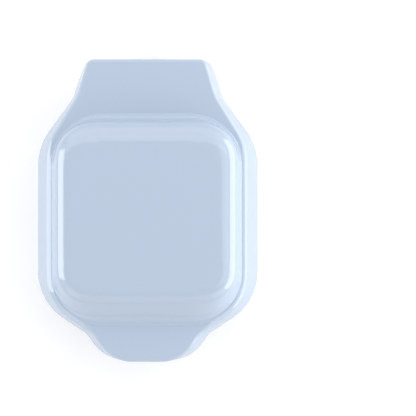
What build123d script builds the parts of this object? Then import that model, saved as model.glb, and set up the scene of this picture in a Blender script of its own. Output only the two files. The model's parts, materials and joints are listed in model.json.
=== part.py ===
from build123d import *
import os
from math import cos, radians, sin, tan

os.makedirs("parts", exist_ok=True)

# Sizes in millimetres. X runs across, +Y towards the hinge, +Z up. The origin is on the table, under the
# middle of the object.

# Cooking plates
waffle_side = 100.0
waffle_corner = 16.0
waffle_half_depth = 7.5
plate_wall = 3.0
plate_floor = 2.8
plate_draft = 8.0
flange_width = 6.5
flange_thickness = 1.6
plate_centre_y = -3.0
snow_height = 4.5
snow_draft = 10.0
snow_arm_share = 0.17
snow_branch_share = 0.32
snow_branch_start = 0.6
snow_branch_angle = 60.0
floor_radius = 2.0
# Each snowflake's middle and reach, as shares of half the waffle's side
snow_layout = [(-0.33, 0.34, 0.56), (0.52, -0.23, 0.39), (-0.21, -0.59, 0.30)]

# Housing outline seen from above, at the foot of the lid's skirt
side_margin = 9.3
rear_shoulder_inset = 15.0
front_shoulder_inset = 5.0
tail_root_gap = 14.0
tail_root_half = 44.6
tail_end_half = 36.9
tail_length = 22.0
handle_root_gap = 14.3
handle_root_half = 36.6
handle_end_half = 25.7
handle_length = 15.7
tail_corner_radius = 4.5
tail_root_radius = 30.0
rear_shoulder_radius = 36.0
front_shoulder_radius = 34.0
handle_root_radius = 16.0
handle_end_radius = 24.0

# Skirt and dome of the lid
skirt_slope_side = 7.3
skirt_slope_tail_root = 4.0
skirt_slope_tail_end = 2.5
skirt_slope_handle_root = 5.8
skirt_slope_handle_end = 4.8
skirt_slope_ends = 0.7
handle_root_lean = 1.5
ledge_tightening = 2.0
skirt_height = 19.8
plinth_step = 0.6
plinth_edge_radius = 0.5
plinth_side_margin = 1.3
plinth_rear_margin = 3.0
plinth_front_margin = 3.8
plinth_corner = 32.0
dome_height = 15.0
dome_side_margin = 3.0
dome_rear_margin = 0.1
dome_front_margin = 4.5
dome_corner = 28.0
dome_slope_side = 4.0
dome_slope_rear = 4.2
dome_slope_front = 13.4
dome_top_corner = 15.0
dome_crown_radius = 9.0
ledge_radius = 2.0
shell_wall = 2.4

# Base
foot_stand = 2.5
base_height = 34.1
base_draft = 7.0
base_step = 0.8
base_corner_radius = 4.0
base_edge_radius = 1.0
parting_gap = 0.6
deck = 3.4
scoop_width = 30.0
scoop_drop = 5.6
scoop_depth = 13.0
scoop_radius = 4.0

# Hinge
pin_radius = 2.0
pin_from_end = 10.1
pin_above_parting = 6.8
pin_overhang = 2.4
pin_fit = 0.02
pin_running = 0.05
knuckle_radius = 6.5
knuckle_half = 24.0
knuckle_neck = 9.5
ear_radius = 12.0
ear_clearance = 0.6
rib_thickness = 3.0
washer_thickness = 0.8
washer_radius = 5.5
washer_gap = 0.15
clip_thickness = 0.8
clip_radius = 4.0
notch_margin = 1.1
tail_top_drop = 5.2

# Fits
seat_clearance = 0.5
frame_clearance = 0.3
flush_gap = 0.1
# How far a cutting or joining shape runs past the surface it meets
overrun = 1.0
# Largest share of an outline's side that the roundings at its ends may take
side_use = 0.95

# Heating elements and what holds them
element_radius = 3.2
element_spread = 30.0
element_front = 30.0
element_rear = 36.0
element_bend = 16.0
element_drop_bend = 8.0
element_end = 3.6
seat_width = 10.0
seat_height = 3.4
groove_clearance = 0.05
bushing_radius = 3.6
bushing_length = 2.6
element_pin_radius = 1.2
element_pin_length = 3.0
clamp_y = 10.0
clamp_width = 14.0
clamp_thickness = 1.0
clamp_overhang = 7.0

# Heat shield dishes
shield_sheet = 0.8
shield_rim = 4.5
shield_mouth = 1.3
shield_depth = 16.9
shield_lean = 5.5
shield_corner = 18.0
shield_floor_corner = 20.0
boss_radius = 4.2
small_boss_radius = 3.0
boss_spread = 40.0

# Screws
plate_screw_radius = 1.95
plate_screw_head = 3.5
plate_screw_head_height = 2.4
screw_bite = 7.0
screw_run_out = 2.0
screw_recess_share = 0.6
screw_recess_width = 0.22
small_screw_radius = 1.3
small_screw_head = 2.8
small_screw_head_height = 1.6
screw_clearance = 0.05
post_radius = 3.6
front_post_x = 22.0
front_post_gap = 9.0
rear_post_x = 27.0
rear_post_gap = 11.5
lid_post_radius = 3.2
lid_rear_post_x = 33.0
lid_rear_post_gap = 5.4
frame_setback = 11.0

# Bottom cover and feet
cover_thickness = 2.2
cover_recess = 0.5
foot_radius = 7.0
foot_pocket = 1.2
foot_edge_radius = 1.0
foot_spread_x = 40.0
foot_spread_y = 42.0
vent_width = 3.0
vent_length = 24.0
vent_pitch = 7.0
vent_count = 5

# Electrical pieces
thermostat_y = -12.0
thermostat_radius = 8.0
thermostat_flange = 2.5
thermostat_body_radius = 6.5
thermostat_height = 9.0
thermostat_screw_spread = 12.5
blade_width = 4.0
blade_thickness = 0.8
blade_length = 10.0
blade_spread = 3.5
fuse_x = 18.5
fuse_y = 30.0
fuse_radius = 2.2
fuse_length = 12.0
fuse_clip_width = 6.0
fuse_clip_sheet = 0.6
fuse_clip_foot = 8.0
block_width = 30.0
block_length = 12.0
block_height = 11.0
block_setback = 9.5
terminal_pitch = 7.0
terminal_radius = 2.0
terminal_head_height = 1.2
gland_radius = 6.0
gland_bore = 3.6
gland_flange = 7.6
gland_flange_thickness = 2.0
gland_boss_radius = 9.0
gland_height = 14.0
gland_boss_length = 8.0
gland_nut_thickness = 2.0
lens_radius = 2.6
lens_flange = 3.8
lens_flange_thickness = 1.2
lens_height = 18.0
lamp_radius = 2.0
lamp_length = 8.0
lead_radius = 1.1
lamp_lead_radius = 0.8
lead_bend = 4.0

# Levels that follow from the sizes above
base_top = foot_stand + base_height
lid_foot = base_top + parting_gap
ledge_z = lid_foot + skirt_height
tab_z = ledge_z - plinth_step
dome_top = ledge_z + dome_height
middle_z = (base_top + lid_foot) / 2
deck_under = base_top - deck
seat_z = base_top - flush_gap - flange_thickness
flange_top = base_top - flush_gap
plate_floor_z = flange_top - waffle_half_depth
plate_under = plate_floor_z - plate_floor
cover_under = foot_stand + cover_recess
cover_top = cover_under + cover_thickness

# Half sizes and distances from the middle that follow
waffle_half = waffle_side / 2
flange_half = waffle_half + flange_width
tub_half = waffle_half + plate_wall
opening_half = tub_half + seat_clearance
skirt_half = flange_half + side_margin
plate_rear = plate_centre_y + flange_half
plate_front = plate_centre_y - flange_half
tail_root_y = plate_rear + tail_root_gap
tail_end_y = tail_root_y + tail_length
handle_root_y = plate_front - handle_root_gap
handle_end_y = handle_root_y - handle_length
shield_half = opening_half + shield_rim

# Hinge axis
pin_y = tail_end_y - pin_from_end
pin_z = lid_foot + pin_above_parting
cradle_radius = ear_radius + ear_clearance
rib_inner = knuckle_half + washer_thickness + 2 * washer_gap
rib_outer = rib_inner + rib_thickness
tail_top = base_top - tail_top_drop
tail_roof = tail_top - shell_wall
roof_step_y = pin_y - cradle_radius - shell_wall
shield_floor = deck_under - shield_depth
gland_face_y = tail_end_y - gland_flange_thickness - flush_gap
gland_inner_y = gland_face_y - gland_boss_length - gland_nut_thickness

# Front wall at the indicator
base_slope = base_draft / base_height
lens_wall_y = handle_end_y + base_step + base_slope * (base_top - lens_height)
lens_flange_y = lens_wall_y + shell_wall + base_slope * lens_flange + frame_clearance


def both_sides(right):
    """Corners of a closed outline from those of its right side."""
    return right + [(-x, y, radius) for x, y, radius in reversed(right)]


def drawn_in(corners, inset, least=0.8):
    """Corners of an outline moved in by the same distance all round."""
    moved = []
    for before, here, after in zip(corners[-1:] + corners[:-1], corners, corners[1:] + corners[:1]):
        arriving = Vector(here[0] - before[0], here[1] - before[1]).normalized()
        leaving = Vector(after[0] - here[0], after[1] - here[1]).normalized()
        inward = Vector(arriving.Y + leaving.Y, -arriving.X - leaving.X).normalized()
        reach = inset / inward.dot(Vector(arriving.Y, -arriving.X))
        bulges = arriving.X * leaving.Y < arriving.Y * leaving.X
        radius = max(here[2] - inset, least) if bulges else here[2] + inset
        moved.append((here[0] + reach * inward.X, here[1] + reach * inward.Y, radius))
    return moved


def between(lower, upper, share):
    """Corners part of the way from one outline to another, or beyond it."""
    return [tuple(a + share * (b - a) for a, b in zip(one, other)) for one, other in zip(lower, upper)]


def fitted_radii(corners):
    """Radii of an outline's corners, each limited by the straight sides beside it."""
    points = [Vector(x, y) for x, y, radius in corners]
    sides = [after - here for here, after in zip(points, points[1:] + points[:1])]
    reaches = []
    for arriving, leaving, (x, y, radius) in zip(sides[-1:] + sides[:-1], sides, corners):
        reaches.append(radius * tan(radians(arriving.get_angle(leaving)) / 2))
    shares = []
    for side, here, after in zip(sides, reaches, reaches[1:] + reaches[:1]):
        shares.append(min(1, side_use * side.length / (here + after)))
    return [
        radius * min(before, after)
        for (x, y, radius), before, after in zip(corners, shares[-1:] + shares[:-1], shares)
    ]


def outline(corners, height):
    """Closed outline with rounded corners at a height."""
    with BuildSketch(Plane.XY.offset(height)) as drawn:
        with BuildLine():
            points = [(x, y) for x, y, radius in corners]
            FilletPolyline(*points, radius=fitted_radii(corners), close=True)
        make_face()
    return drawn.sketch


def plate_square(half, corner, height):
    """Rounded square round the plate's middle at a height."""
    with BuildSketch(Plane.XY.offset(height)) as drawn:
        with Locations((0, plate_centre_y)):
            RectangleRounded(2 * half, 2 * half, corner)
    return drawn.sketch


dome_root_half = skirt_half - skirt_slope_side - dome_side_margin
dome_root_rear = plate_rear + dome_rear_margin
dome_root_front = plate_front - dome_front_margin


def lid_rectangle(half, rear, front, corner, height):
    """Rounded rectangle at a height, from its half width and the y of its rear and front."""
    with BuildSketch(Plane.XY.offset(height)) as drawn:
        with Locations((0, (rear + front) / 2)):
            RectangleRounded(2 * half, rear - front, corner)
    return drawn.sketch


def dome_rectangle(inset, share, height):
    """Rounded rectangle of the dome, from its root at share 0 to its top at share 1."""
    return lid_rectangle(
        dome_root_half - share * dome_slope_side - inset,
        dome_root_rear - share * dome_slope_rear - inset,
        dome_root_front + share * dome_slope_front + inset,
        dome_corner + share * (dome_top_corner - dome_corner) - inset,
        height,
    )


skirt_outline = both_sides([
    (tail_end_half, tail_end_y, tail_corner_radius),
    (tail_root_half, tail_root_y, tail_root_radius),
    (skirt_half, plate_rear - rear_shoulder_inset, rear_shoulder_radius),
    (skirt_half, plate_front + front_shoulder_inset, front_shoulder_radius),
    (handle_root_half, handle_root_y, handle_root_radius),
    (handle_end_half, handle_end_y, handle_end_radius),
])
ledge_half = skirt_half - skirt_slope_side
ledge_front = handle_end_y + skirt_slope_ends
ledge_outline = both_sides([
    (tail_end_half - skirt_slope_tail_end, tail_end_y - skirt_slope_ends, tail_corner_radius),
    (tail_root_half - skirt_slope_tail_root, tail_root_y, tail_root_radius - ledge_tightening),
    (ledge_half, plate_rear - rear_shoulder_inset, rear_shoulder_radius - ledge_tightening),
    (ledge_half, plate_front + front_shoulder_inset, front_shoulder_radius - ledge_tightening),
    (handle_root_half - skirt_slope_handle_root, handle_root_y + handle_root_lean, handle_root_radius),
    (handle_end_half - skirt_slope_handle_end, ledge_front, handle_end_radius - ledge_tightening),
])
rim_outline = drawn_in(skirt_outline, base_step, base_corner_radius)
base_foot_outline = drawn_in(rim_outline, base_draft, base_corner_radius)


def base_outline(height, inset=0.0):
    """Corners of the base's outer or inner skin at a height."""
    share = (base_top - height) / base_height
    return drawn_in(between(rim_outline, base_foot_outline, share), inset)


def skirt_section(height, inset=0.0):
    """Corners of the lid skirt's outer or inner skin at a height."""
    share = (height - lid_foot) / skirt_height
    return drawn_in(between(skirt_outline, ledge_outline, share), inset)


# Places of the screw posts, as (x, y) pairs
front_post_y = plate_front - front_post_gap
rear_post_y = plate_rear + rear_post_gap
post_places = [
    (front_post_x, front_post_y),
    (-front_post_x, front_post_y),
    (rear_post_x, rear_post_y),
    (-rear_post_x, rear_post_y),
]
boss_places = [
    (x, plate_centre_y + y) for x in (-boss_spread, boss_spread) for y in (-boss_spread, boss_spread)
]

# Base housing: drafted shell, open below, with the plate's seat in its deck
with BuildPart() as base_cavity:
    loft(sections=[
        outline(base_outline(foot_stand - overrun, shell_wall), foot_stand - overrun),
        outline(base_outline(deck_under, shell_wall), deck_under),
    ])
    with BuildSketch(Plane.YZ) as roof_steps:
        with Locations((roof_step_y, tail_roof)):
            Rectangle(skirt_half, base_height, align=(Align.MIN, Align.MIN))
        with Locations((handle_end_y + scoop_depth + shell_wall, deck_under - scoop_drop)):
            Rectangle(skirt_half, base_height, align=(Align.MAX, Align.MIN))
    extrude(amount=2 * skirt_half, both=True, mode=Mode.SUBTRACT)

edge_top = foot_stand + base_edge_radius
with BuildPart() as base_housing:
    loft(sections=[outline(base_outline(edge_top), edge_top), outline(rim_outline, base_top)])
    loft(sections=[
        outline(base_outline(foot_stand, base_edge_radius), foot_stand),
        outline(base_outline(edge_top), edge_top),
    ])
    add(base_cavity.part, mode=Mode.SUBTRACT)
    # Tail cut down behind the pin, with a cradle round the lid's ears
    with BuildSketch(Plane.YZ) as swing_room:
        with Locations((pin_y, pin_z)):
            Circle(cradle_radius)
        with Locations((pin_y, tail_top)):
            Rectangle(skirt_half, base_height, align=(Align.MIN, Align.MIN))
    extrude(amount=2 * skirt_half, both=True, mode=Mode.SUBTRACT)
    # Knuckle and its neck
    with BuildSketch(Plane.YZ) as knuckle:
        with Locations((pin_y, pin_z)):
            Circle(knuckle_radius)
        with Locations((pin_y - knuckle_radius, tail_top - shell_wall / 2)):
            Rectangle(knuckle_neck, pin_z - tail_top + shell_wall / 2, align=(Align.MIN, Align.MIN))
    extrude(amount=knuckle_half, both=True)
    with BuildSketch(Plane.YZ) as pin_hole:
        with Locations((pin_y, pin_z)):
            Circle(pin_radius + pin_running)
    extrude(amount=skirt_half, both=True, mode=Mode.SUBTRACT)
    # Seat and opening for the lower plate
    seat = plate_square(flange_half + frame_clearance, waffle_corner + flange_width, seat_z)
    extrude(seat, amount=deck, mode=Mode.SUBTRACT)
    opening = plate_square(opening_half, waffle_corner + plate_wall, deck_under - overrun)
    extrude(opening, amount=deck + 2 * overrun, mode=Mode.SUBTRACT)
    # Finger scoop under the lid's handle
    with BuildSketch(Plane.XZ.offset(-handle_end_y + overrun)) as scoop:
        with Locations((0, base_top)):
            RectangleRounded(scoop_width, 2 * scoop_drop, scoop_radius)
    extrude(amount=-scoop_depth - overrun, mode=Mode.SUBTRACT)
    # Screw posts for the bottom cover
    for places, roof in ((post_places[:2], deck_under), (post_places[2:], tail_roof)):
        with BuildSketch(Plane.XY.offset(cover_top)) as posts:
            with Locations(*places):
                Circle(post_radius)
        extrude(amount=roof + overrun - cover_top)
    with BuildSketch(Plane.XY.offset(cover_top)) as pilot_holes:
        with Locations(*post_places):
            Circle(small_screw_radius + screw_clearance)
    extrude(amount=screw_bite + screw_run_out, mode=Mode.SUBTRACT)
    # Boss for the cord gland in the tail's rear wall
    with BuildSketch(Plane.XZ.offset(-gland_face_y)) as gland_boss:
        with Locations((0, gland_height)):
            Circle(gland_boss_radius)
    extrude(amount=gland_boss_length)
    with BuildSketch(Plane.XZ.offset(-gland_face_y)) as gland_hole:
        with Locations((0, gland_height)):
            Circle(gland_radius + screw_clearance)
    extrude(amount=gland_boss_length, mode=Mode.SUBTRACT)
    # Hole for the indicator lens in the front wall
    with BuildSketch(Plane.XZ.offset(-handle_end_y)) as lens_hole:
        with Locations((0, lens_height)):
            Circle(lens_radius + screw_clearance)
    extrude(amount=handle_end_y - lens_flange_y, mode=Mode.SUBTRACT)
base_housing.part.label = "base_housing"
export_step(base_housing.part, "parts/base_housing.step")

# Bottom cover with foot pockets, vents and sunk screw holes
foot_places = [
    (x, plate_centre_y + y)
    for x in (-foot_spread_x, foot_spread_x)
    for y in (-foot_spread_y, foot_spread_y)
]
with BuildPart() as bottom_cover:
    cover_outline = base_outline(cover_under, shell_wall + frame_clearance)
    extrude(outline(cover_outline, cover_under), amount=cover_thickness)
    with BuildSketch(Plane.XY.offset(cover_under)) as pockets:
        with Locations(*foot_places):
            Circle(foot_radius + frame_clearance)
        with Locations(*post_places):
            Circle(small_screw_head + frame_clearance)
    extrude(amount=foot_pocket, mode=Mode.SUBTRACT)
    with BuildSketch(Plane.XY.offset(cover_under)) as screw_holes:
        with Locations(*post_places):
            Circle(small_screw_radius + frame_clearance)
    extrude(amount=cover_thickness, mode=Mode.SUBTRACT)
    with BuildSketch(Plane.XY.offset(cover_under)) as vents:
        with Locations((0, plate_centre_y)):
            with GridLocations(vent_pitch, vent_length + vent_pitch, vent_count, 2):
                SlotOverall(vent_length, vent_width, rotation=90)
    extrude(amount=cover_thickness, mode=Mode.SUBTRACT)
bottom_cover.part.label = "bottom_cover"
export_step(bottom_cover.part, "parts/bottom_cover.step")

with BuildPart() as foot_pads:
    with BuildSketch() as pads:
        with Locations(*foot_places):
            Circle(foot_radius)
    extrude(amount=cover_under + foot_pocket)
    fillet(foot_pads.edges().filter_by(GeomType.CIRCLE).group_by(Axis.Z)[0], foot_edge_radius)
foot_pads.part.label = "foot_pads"
export_step(foot_pads.part, "parts/foot_pads.step")


def screws(name, places, under_z, head, radius, reach):
    """Screws whose heads hang under a surface and whose shanks go up.

    The head is given as its radius and height. It has a rounded rim and a crossed recess.
    """
    head_radius, head_height = head
    with BuildPart() as made:
        with BuildSketch(Plane.XY.offset(under_z - head_height)) as heads:
            with Locations(*places):
                Circle(head_radius)
        extrude(amount=head_height)
        fillet(made.faces().group_by(Axis.Z)[0].edges(), head_height / 2)
        with BuildSketch(Plane.XY.offset(under_z - head_height)) as recesses:
            with Locations(*places):
                Rectangle(head_radius, screw_recess_width * head_radius)
                Rectangle(screw_recess_width * head_radius, head_radius)
        extrude(amount=screw_recess_share * head_height, mode=Mode.SUBTRACT)
        with BuildSketch(Plane.XY.offset(under_z)) as shanks:
            with Locations(*places):
                Circle(radius)
        extrude(amount=reach)
        chamfer(made.faces().group_by(Axis.Z)[-1].edges(), radius / 3)
    made.part.label = name
    export_step(made.part, "parts/" + name + ".step")
    return made.part


small_head = (small_screw_head, small_screw_head_height)
plate_head = (plate_screw_head, plate_screw_head_height)
screws(
    "bottom_cover_screws", post_places, cover_under + foot_pocket, small_head, small_screw_radius,
    screw_bite,
)


def tapered_square(half, corner, wide_z, narrow_z):
    """Two sections round the plate's middle that narrow by the plate's draft."""
    narrowing = abs(wide_z - narrow_z) * tan(radians(plate_draft))
    return [
        plate_square(half, corner, wide_z),
        plate_square(half - narrowing, corner - narrowing, narrow_z),
    ]


def element_run(height):
    """The element's flat run, a U open to the rear."""
    front = plate_centre_y - element_front
    rear = plate_centre_y + element_rear
    with BuildLine(Plane.XY.offset(height)) as run:
        FilletPolyline(
            (-element_spread, rear), (-element_spread, front),
            (element_spread, front), (element_spread, rear),
            radius=element_bend,
        )
    return run.line


# Levels and places under the plate
seat_under = plate_under - seat_height
element_rear_y = plate_centre_y + element_rear
element_drop_y = element_rear_y + element_drop_bend
element_end_z = shield_floor - shield_sheet - element_end
bushing_end_z = element_end_z - bushing_length
lead_height = bushing_end_z - lead_radius - flush_gap
lamp_lead_height = cover_top + lamp_lead_radius + frame_clearance
clamp_centre_y = plate_centre_y + clamp_y
thermostat_centre_y = plate_centre_y + thermostat_y
flange_under = plate_under - thermostat_flange
thermostat_under = plate_under - thermostat_height
thermostat_screw_places = [
    (-thermostat_screw_spread, thermostat_centre_y),
    (thermostat_screw_spread, thermostat_centre_y),
]

# The space that one half of the waffle fills
with BuildPart() as waffle_space:
    loft(sections=tapered_square(waffle_half, waffle_corner, flange_top, plate_floor_z))
    fillet(waffle_space.faces().sort_by(Axis.Z)[0].edges(), floor_radius)

# Raised snowflakes: six arms, each with a pair of side branches
with BuildPart() as snowflakes:
    with BuildSketch(Plane.XY.offset(plate_floor_z - overrun)) as flake_plan:
        for share_x, share_y, share_reach in snow_layout:
            reach = share_reach * waffle_half
            arm_width = snow_arm_share * reach
            centre_x = share_x * waffle_half
            centre_y = plate_centre_y + share_y * waffle_half
            with Locations((centre_x, centre_y)):
                with PolarLocations(0, 6):
                    Rectangle(reach, arm_width, align=(Align.MIN, Align.CENTER))
            for arm in range(6):
                turn = 60 * arm
                branch_x = centre_x + snow_branch_start * reach * cos(radians(turn))
                branch_y = centre_y + snow_branch_start * reach * sin(radians(turn))
                for side in (-snow_branch_angle, snow_branch_angle):
                    with Locations(Location((branch_x, branch_y), turn + side)):
                        Rectangle(snow_branch_share * reach, arm_width, align=(Align.MIN, Align.CENTER))
    extrude(amount=snow_height + overrun, taper=snow_draft)

with BuildPart() as lower_plate:
    extrude(plate_square(flange_half, waffle_corner + flange_width, seat_z), amount=flange_thickness)
    loft(sections=tapered_square(tub_half, waffle_corner + plate_wall, seat_z, plate_under))
    add(waffle_space.part, mode=Mode.SUBTRACT)
    add(snowflakes.part)
    # Raised seat under the plate, with the element's half-round groove
    with BuildSketch(Plane.XY.offset(seat_under)) as seat:
        trace(element_run(0), seat_width)
    extrude(amount=seat_height)
    with BuildSketch(Plane.XZ.offset(-element_rear_y)) as groove:
        with Locations((-element_spread, seat_under)):
            Circle(element_radius + groove_clearance)
    sweep(path=element_run(seat_under), mode=Mode.SUBTRACT)
    # Bosses for the shield's, the clamp's and the thermostat's screws
    with BuildSketch(Plane.XY.offset(shield_floor)) as shield_bosses:
        with Locations(*boss_places):
            Circle(boss_radius)
    extrude(amount=plate_under - shield_floor)
    with BuildSketch(Plane.XY.offset(shield_floor)) as shield_pilots:
        with Locations(*boss_places):
            Circle(plate_screw_radius + screw_clearance)
    extrude(amount=screw_bite + screw_run_out, mode=Mode.SUBTRACT)
    with BuildSketch(Plane.XY.offset(seat_under)) as clamp_boss:
        with Locations((0, clamp_centre_y)):
            Circle(boss_radius)
    extrude(amount=seat_height)
    with BuildSketch(Plane.XY.offset(seat_under)) as clamp_pilot:
        with Locations((0, clamp_centre_y)):
            Circle(small_screw_radius + screw_clearance)
    extrude(amount=seat_height + plate_floor / 2, mode=Mode.SUBTRACT)
    with BuildSketch(Plane.XY.offset(flange_under)) as thermostat_bosses:
        with Locations(*thermostat_screw_places):
            Circle(small_boss_radius)
    extrude(amount=thermostat_flange)
    with BuildSketch(Plane.XY.offset(flange_under)) as thermostat_pilots:
        with Locations(*thermostat_screw_places):
            Circle(small_screw_radius + screw_clearance)
    extrude(amount=thermostat_flange + plate_floor / 2, mode=Mode.SUBTRACT)
lower_plate.part.label = "lower_plate"
export_step(lower_plate.part, "parts/lower_plate.step")

# Tubular element: the flat U, then both ends bent down through the heat shield
with BuildPart() as lower_element:
    with BuildSketch(Plane.XZ.offset(-element_rear_y)) as sheath:
        with Locations((-element_spread, seat_under)):
            Circle(element_radius)
    sweep(path=element_run(seat_under))
    for side in (-1, 1):
        with BuildLine(Plane.YZ.offset(side * element_spread)) as drop:
            bend = JernArc((element_rear_y, seat_under), (1, 0), element_drop_bend, -90)
            Line(bend @ 1, (element_drop_y, element_end_z))
        with BuildSketch(Plane.XZ.offset(-element_rear_y)) as sheath_end:
            with Locations((side * element_spread, seat_under)):
                Circle(element_radius)
        sweep(sections=sheath_end.sketch, path=drop.line)
lower_element.part.label = "lower_element"
export_step(lower_element.part, "parts/lower_element.step")

element_end_places = [(-element_spread, element_drop_y), (element_spread, element_drop_y)]
with BuildPart() as lower_element_bushings:
    with BuildSketch(Plane.XY.offset(bushing_end_z)) as bushings:
        with Locations(*element_end_places):
            Circle(bushing_radius)
            Circle(element_pin_radius + screw_clearance, mode=Mode.SUBTRACT)
    extrude(amount=bushing_length)
lower_element_bushings.part.label = "lower_element_bushings"
export_step(lower_element_bushings.part, "parts/lower_element_bushings.step")

with BuildPart() as lower_element_pins:
    with BuildSketch(Plane.XY.offset(bushing_end_z - element_pin_length)) as cold_pins:
        with Locations(*element_end_places):
            Circle(element_pin_radius)
    extrude(amount=element_pin_length + bushing_length)
lower_element_pins.part.label = "lower_element_pins"
export_step(lower_element_pins.part, "parts/lower_element_pins.step")

# Strap with a saddle under each arm of the element
with BuildPart() as lower_element_clamp:
    with BuildSketch(Plane.XZ.offset(-clamp_centre_y)) as strap:
        with Locations((0, seat_under - clamp_thickness)):
            strap_width = 2 * (element_spread + clamp_overhang)
            Rectangle(strap_width, clamp_thickness, align=(Align.CENTER, Align.MIN))
        with Locations((-element_spread, seat_under), (element_spread, seat_under)):
            Circle(element_radius + groove_clearance + clamp_thickness)
            Circle(element_radius + groove_clearance, mode=Mode.SUBTRACT)
        with Locations((0, seat_under)):
            Rectangle(
                4 * element_spread, 4 * element_radius, align=(Align.CENTER, Align.MIN), mode=Mode.SUBTRACT
            )
    extrude(amount=clamp_width / 2, both=True)
    with BuildSketch(Plane.XY.offset(seat_under - clamp_thickness)) as strap_hole:
        with Locations((0, clamp_centre_y)):
            Circle(small_screw_radius + screw_clearance)
    extrude(amount=clamp_thickness, mode=Mode.SUBTRACT)
lower_element_clamp.part.label = "lower_element_clamp"
export_step(lower_element_clamp.part, "parts/lower_element_clamp.step")

clamp_screw = screws(
    "lower_clamp_screw", [(0, clamp_centre_y)], seat_under - clamp_thickness, small_head,
    small_screw_radius, clamp_thickness + seat_height,
)

# Heat shield: a thin dish whose rim is held against the deck
shield_top_half = opening_half + shield_mouth
shield_floor_half = shield_top_half - shield_lean
with BuildPart() as lower_heat_shield:
    rim = plate_square(shield_half, shield_corner + shield_rim, deck_under - shield_sheet)
    extrude(rim, amount=shield_sheet)
    loft(sections=[
        plate_square(shield_top_half + shield_sheet, shield_corner + shield_sheet, deck_under),
        plate_square(shield_floor_half + shield_sheet, shield_floor_corner, shield_floor - shield_sheet),
    ])
    loft(
        sections=[
            plate_square(shield_top_half, shield_corner, deck_under),
            plate_square(shield_floor_half, shield_floor_corner - shield_sheet, shield_floor),
        ],
        mode=Mode.SUBTRACT,
    )
    with BuildSketch(Plane.XY.offset(shield_floor - shield_sheet)) as shield_holes:
        with Locations(*boss_places):
            Circle(plate_screw_radius + screw_clearance)
        with Locations(*element_end_places):
            Circle(element_radius + seat_clearance)
        with Locations((0, thermostat_centre_y)):
            Circle(thermostat_body_radius + seat_clearance)
    extrude(amount=shield_sheet, mode=Mode.SUBTRACT)
lower_heat_shield.part.label = "lower_heat_shield"
export_step(lower_heat_shield.part, "parts/lower_heat_shield.step")

plate_screws = screws(
    "lower_plate_screws", boss_places, shield_floor - shield_sheet, plate_head, plate_screw_radius,
    shield_sheet + screw_bite,
)

# Thermostat against the plate, its bracket and the bracket's screws
with BuildPart() as thermostat:
    with BuildSketch(Plane.XY.offset(flange_under)) as disc:
        with Locations((0, thermostat_centre_y)):
            Circle(thermostat_radius)
    extrude(amount=thermostat_flange)
    with BuildSketch(Plane.XY.offset(thermostat_under)) as body:
        with Locations((0, thermostat_centre_y)):
            Circle(thermostat_body_radius)
    extrude(amount=thermostat_height - thermostat_flange)
    with BuildSketch(Plane.XY.offset(thermostat_under)) as blades:
        with Locations((-blade_spread, thermostat_centre_y), (blade_spread, thermostat_centre_y)):
            Rectangle(blade_thickness, blade_width)
    extrude(amount=-blade_length)
thermostat.part.label = "thermostat"
export_step(thermostat.part, "parts/thermostat.step")

with BuildPart() as thermostat_bracket:
    with BuildSketch(Plane.XY.offset(flange_under - clamp_thickness)) as bracket:
        with Locations((0, thermostat_centre_y)):
            SlotCenterToCenter(2 * thermostat_screw_spread, 2 * small_boss_radius)
            Circle(thermostat_radius)
            Circle(thermostat_body_radius + screw_clearance, mode=Mode.SUBTRACT)
        with Locations(*thermostat_screw_places):
            Circle(small_screw_radius + screw_clearance, mode=Mode.SUBTRACT)
    extrude(amount=clamp_thickness)
thermostat_bracket.part.label = "thermostat_bracket"
export_step(thermostat_bracket.part, "parts/thermostat_bracket.step")

screws(
    "thermostat_screws", thermostat_screw_places, flange_under - clamp_thickness, small_head,
    small_screw_radius, clamp_thickness + thermostat_flange,
)

# Thermal fuse and the clip that hangs it from the heat shield
fuse_centre_y = plate_centre_y + fuse_y
with BuildPart() as thermal_fuse:
    with BuildSketch(Plane.YZ.offset(fuse_x - fuse_length / 2)) as sleeve:
        with Locations((fuse_centre_y, lead_height)):
            Circle(fuse_radius)
    extrude(amount=fuse_length)
thermal_fuse.part.label = "thermal_fuse"
export_step(thermal_fuse.part, "parts/thermal_fuse.step")

with BuildPart() as fuse_clip:
    with BuildSketch(Plane.YZ.offset(fuse_x - fuse_clip_width / 2)) as clip_profile:
        with Locations((fuse_centre_y, lead_height)):
            Circle(fuse_radius + fuse_clip_sheet)
        with Locations((fuse_centre_y, shield_floor - shield_sheet)):
            Rectangle(
                fuse_clip_sheet, shield_floor - shield_sheet - lead_height - fuse_radius,
                align=(Align.CENTER, Align.MAX),
            )
            Rectangle(fuse_clip_foot, fuse_clip_sheet, align=(Align.CENTER, Align.MAX))
        with Locations((fuse_centre_y, lead_height)):
            Circle(fuse_radius + screw_clearance, mode=Mode.SUBTRACT)
    extrude(amount=fuse_clip_width)
fuse_clip.part.label = "fuse_clip"
export_step(fuse_clip.part, "parts/fuse_clip.step")

# Terminal block on the bottom cover, with barriers between its four screws
block_front_y = plate_rear + block_setback
block_centre_y = block_front_y + block_length / 2
block_top = cover_top + block_height
with BuildPart() as terminal_block:
    with BuildSketch(Plane.XY.offset(cover_top)) as block:
        with Locations((0, block_centre_y)):
            Rectangle(block_width, block_length)
    extrude(amount=block_height)
    chamfer(terminal_block.edges().group_by(Axis.Z)[-1], terminal_head_height / 2)
    with BuildSketch(Plane.XY.offset(block_top - terminal_radius)) as barrier_gaps:
        with Locations((0, block_centre_y)):
            with GridLocations(terminal_pitch, 0, 3, 1):
                Rectangle(terminal_head_height, block_length)
    extrude(amount=terminal_radius, mode=Mode.SUBTRACT)
    with BuildSketch(Plane.XY.offset(block_top - 2 * terminal_radius)) as wells:
        with Locations((0, block_centre_y)):
            with GridLocations(terminal_pitch, 0, 4, 1):
                Circle(terminal_radius + screw_clearance)
    extrude(amount=2 * terminal_radius, mode=Mode.SUBTRACT)
terminal_block.part.label = "terminal_block"
export_step(terminal_block.part, "parts/terminal_block.step")

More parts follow.
